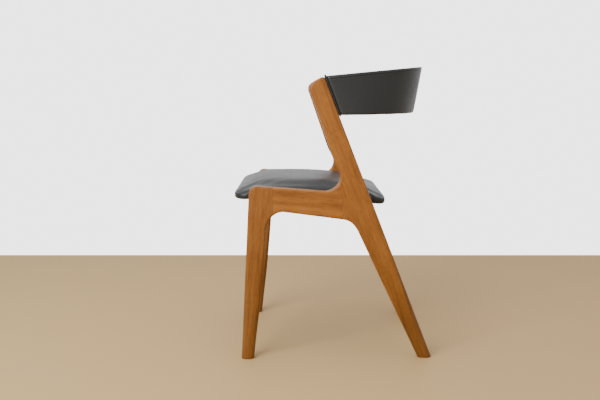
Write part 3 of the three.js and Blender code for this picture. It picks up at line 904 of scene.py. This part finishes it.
body = g.make("GeometryNodeJoinGeometry", {}, {"Geometry": (head, shank, point)}).outputs[0]
aimRead = g.make("GeometryNodeInputNamedAttribute", {"data_type": "FLOAT_VECTOR"}, {"Name": "aim"}).outputs[0]
aimed = g.make("FunctionNodeAlignRotationToVector", {"axis": "Z"}, {"Vector": aimRead}).outputs[0]
placed = g.make("GeometryNodeInstanceOnPoints", {}, {"Points": g.start.outputs["Geometry"], "Instance": body,
                                                     "Rotation": aimed}).outputs[0]
g.finish(g.turned(placed, 0.0, 1.5, 7, True), steel)
finishPiece(harvest("woodScrews", heads, g, screw), "steel", *aims)

staple = {"Crown": 0.0100, "Wire": 0.0011, "Height": 0.0006, "Spacing": 0.019}
stapled = {"inset": 19, "sink": 0.2, "frontHalf": 165, "rearHalf": 158, "sideFrom": -118, "sideTo": -8}
stapleRows = [[(end * stapled["frontHalf"], seat["front"] + stapled["inset"]) for end in (-1, 1)],
              [(end * stapled["rearHalf"], seat["rear"] - stapled["inset"]) for end in (-1, 1)]]
for sign in (1, -1):
    stapleRows.append([(sign * (innerX(y) - seat["clear"] - stapled["inset"]), y)
                       for y in (stapled["sideFrom"], stapled["sideTo"])])
stapleLines = bpy.data.meshes.new("stapleLines")
rowEnds = [Vector((x, y, seatUnder(y) - seatDroop(y) - stapled["sink"])) / 1000
           for row in stapleRows for x, y in row]
stapleLines.from_pydata(rowEnds, [(2 * i, 2 * i + 1) for i in range(len(stapleRows))], [])

g = Growth("staples", staple)
run = g.make("GeometryNodeMeshToCurve", {}, {"Mesh": g.start.outputs["Geometry"]}).outputs[0]
dots = g.make("GeometryNodeCurveToPoints", {"mode": "LENGTH"}, {"Curve": run, "Length": g.size("Spacing")})
barSize = g.vector(g.size("Height"), g.size("Wire"), g.size("Crown"))
bar = g.make("GeometryNodeMeshCube", {}, {"Size": barSize, "Vertices X": 2, "Vertices Y": 2,
                                          "Vertices Z": 5}).outputs["Mesh"]
sets = g.make("GeometryNodeInstanceOnPoints", {}, {"Points": dots.outputs["Points"], "Instance": bar,
                                                   "Rotation": dots.outputs["Rotation"]}).outputs[0]
g.finish(g.turned(sets, -0.12, 0.12, 3, False), steel)
finishPiece(harvest("coverStaples", stapleLines, g, staple), "steel")
print("screws and staples set")


# what stays as it was made in CAD

def wearing(material, *words):
    for name, node in frame["nodes"].items():
        if any(word in name for word in words):
            node.data.materials.clear()
            node.data.materials.append(material)


wearing(beech, "corner_block", "dowel", "end_block")
wearing(stainedBeech, "cross_rail")
wearing(plywood, "seat_board", "back_shell")
wearing(lining, "seat_lining")
wearing(foam, "foam")
wearing(steel, "back_screw")


# room, camera and light

room = {"floor": (0.54, 0.36, 0.16), "wall": (0.80, 0.785, 0.79), "back": -1.106, "side": 7.0, "front": 5.0}
floorMix = Recipe("paleFloor")
floorWhere = floorMix.place()
haze = floorMix.cloud(floorWhere, 3, 2)
floorColour = floorMix.blend(haze, tuple(c * 0.97 for c in room["floor"]), room["floor"])
floorMix.wear(colour=floorColour, rough=0.6, spec=0.12)
floorMesh = bmesh.new()
bmesh.ops.create_grid(floorMesh, x_segments=1, y_segments=1, size=1)
for v in floorMesh.verts:
    v.co = (room["front"] if v.co.x > 0 else room["back"], v.co.y * room["side"], 0)
floorPiece = addObject("floor", floorMesh, floorMix.material, False)

studio = {"backdrop": 4.3, "wall": 1.7, "room": 0.85, "wallFrom": 0.3, "wallFull": 0.92}
world = bpy.data.worlds.new("studio")         # white backdrop, its own light softer, brightest from behind
bpy.context.scene.world = world
world.use_nodes = True
sky = world.node_tree
skyWhere = sky.nodes.new("ShaderNodeTexCoord")
skySplit = sky.nodes.new("ShaderNodeSeparateXYZ")
skyRange = sky.nodes.new("ShaderNodeMapRange")
skyRange.interpolation_type = "SMOOTHSTEP"
for index, value in ((1, -studio["wallFrom"]), (2, -studio["wallFull"]), (3, studio["room"]), (4, studio["wall"])):
    skyRange.inputs[index].default_value = value
skySeen = sky.nodes.new("ShaderNodeLightPath")
skyMix = sky.nodes.new("ShaderNodeMix")
skyMix.inputs["B"].default_value = studio["backdrop"]
sky.links.new(skyWhere.outputs["Generated"], skySplit.inputs[0])
sky.links.new(skySplit.outputs[0], skyRange.inputs[0])
sky.links.new(skySeen.outputs["Is Camera Ray"], skyMix.inputs["Factor"])
sky.links.new(skyRange.outputs[0], skyMix.inputs["A"])
sky.links.new(skyMix.outputs["Result"], sky.nodes["Background"].inputs["Strength"])
sky.nodes["Background"].inputs["Color"].default_value = (*room["wall"], 1)

lights = {"key": ((2.5, -1.7, 1.75), (2.0, 2.0), 125), "top": ((0.4, -0.6, 2.7), (2.4, 2.4), 26)}
litPoint = Vector((0, 0, 0.42))
for name, (place, size, power) in lights.items():
    lamp = bpy.data.lights.new(name, "AREA")
    lamp.shape, lamp.size, lamp.size_y, lamp.energy = "RECTANGLE", size[0], size[1], power
    stand = bpy.data.objects.new(name, lamp)
    stand.location = place
    stand.rotation_euler = (litPoint - Vector(place)).to_track_quat("-Z", "Y").to_euler()
    bpy.context.scene.collection.objects.link(stand)

view = {"place": (2.283, -0.0865, 0.679), "down": 7.55, "lens": 50, "film": 36}
camera = bpy.data.objects.new("camera", bpy.data.cameras.new("camera"))
camera.data.lens, camera.data.sensor_width = view["lens"], view["film"]
camera.location = view["place"]
camera.rotation_euler = (radians(90 - view["down"]), 0, radians(90))
bpy.context.scene.collection.objects.link(camera)
bpy.context.scene.camera = camera
print("room lit")
